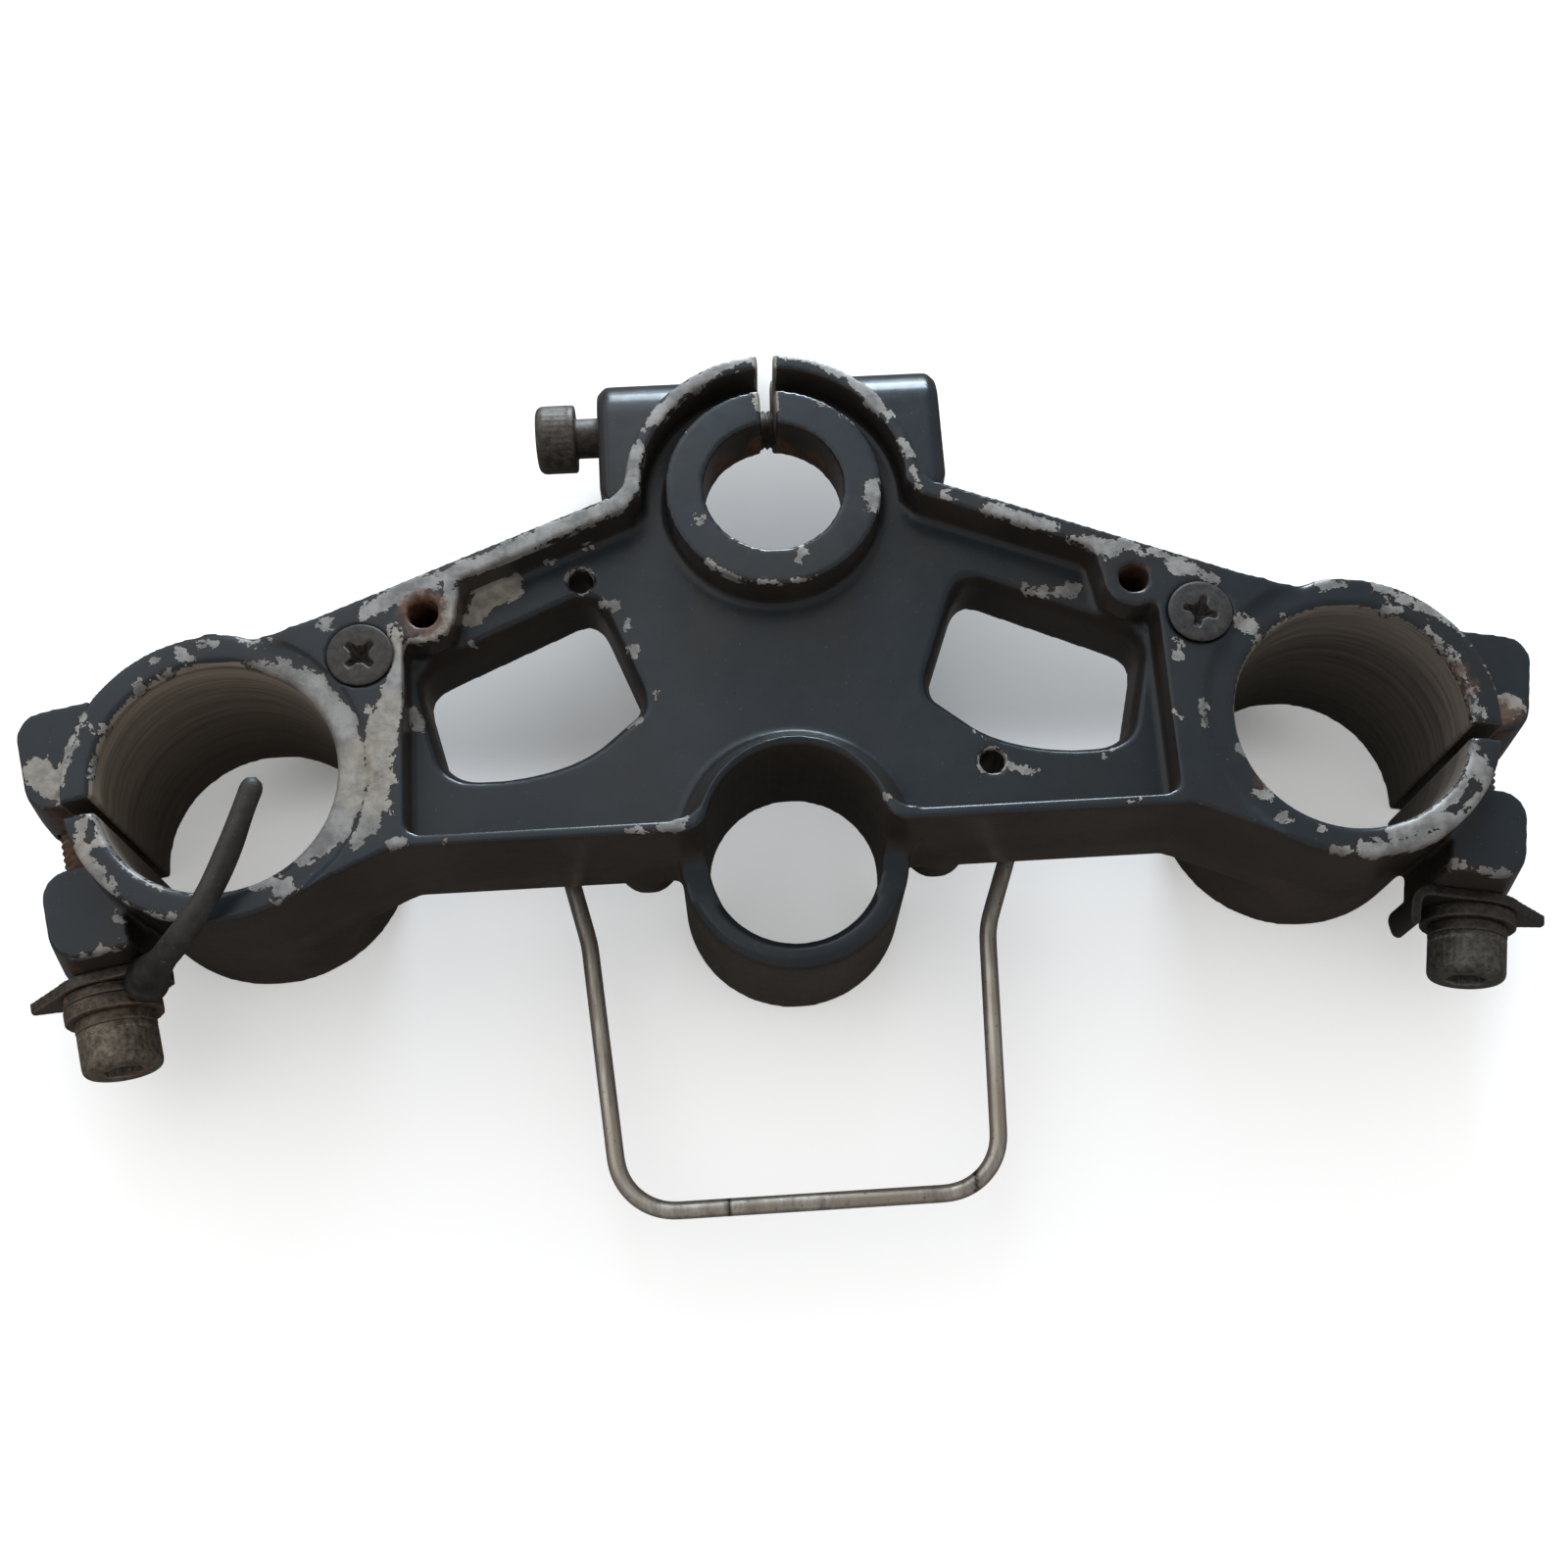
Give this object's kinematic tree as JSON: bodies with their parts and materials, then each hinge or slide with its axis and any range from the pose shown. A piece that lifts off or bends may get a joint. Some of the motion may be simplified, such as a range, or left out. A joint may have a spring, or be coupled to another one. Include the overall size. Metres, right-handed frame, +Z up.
{
  "type": "motorcycle upper triple clamp",
  "caption": "Cast fork bridge with split fork and stem clamps, switch collar, two windows, pinch bolts with guide plates, a cable finger and a wire cable loop.",
  "frame": {"origin": "on the steering stem axis at the top face of the stem ring", "axes": "+Z up along the stem, +Y back to the rider, +X to the rider's right, along the line of the two fork clamps"},
  "size_m": [0.2616, 0.1494, 0.0505],
  "materials": {
    "casting_paint": "semi-gloss black paint, chipped to bare aluminium at the edges",
    "bolt_steel": "worn black oxide with rust",
    "washer_steel": "dull, rusty",
    "plate_steel": "worn black",
    "finger_rubber": "matte",
    "screw_steel": "oxidised",
    "loop_wire": "dull plated wire"
  },
  "bodies": {
    "root": {"bridge_casting": "casting_paint", "left_pinch_bolt": "bolt_steel", "right_pinch_bolt": "bolt_steel", "stem_pinch_bolt": "bolt_steel", "left_flat_washer": "washer_steel", "right_flat_washer": "washer_steel", "left_lock_washer": "washer_steel", "right_lock_washer": "washer_steel", "left_guide_plate": "plate_steel", "right_guide_plate": "plate_steel", "guide_finger": "finger_rubber", "left_top_screw": "screw_steel", "right_top_screw": "screw_steel", "cable_loop": "loop_wire"}
  },
  "joints": []
}
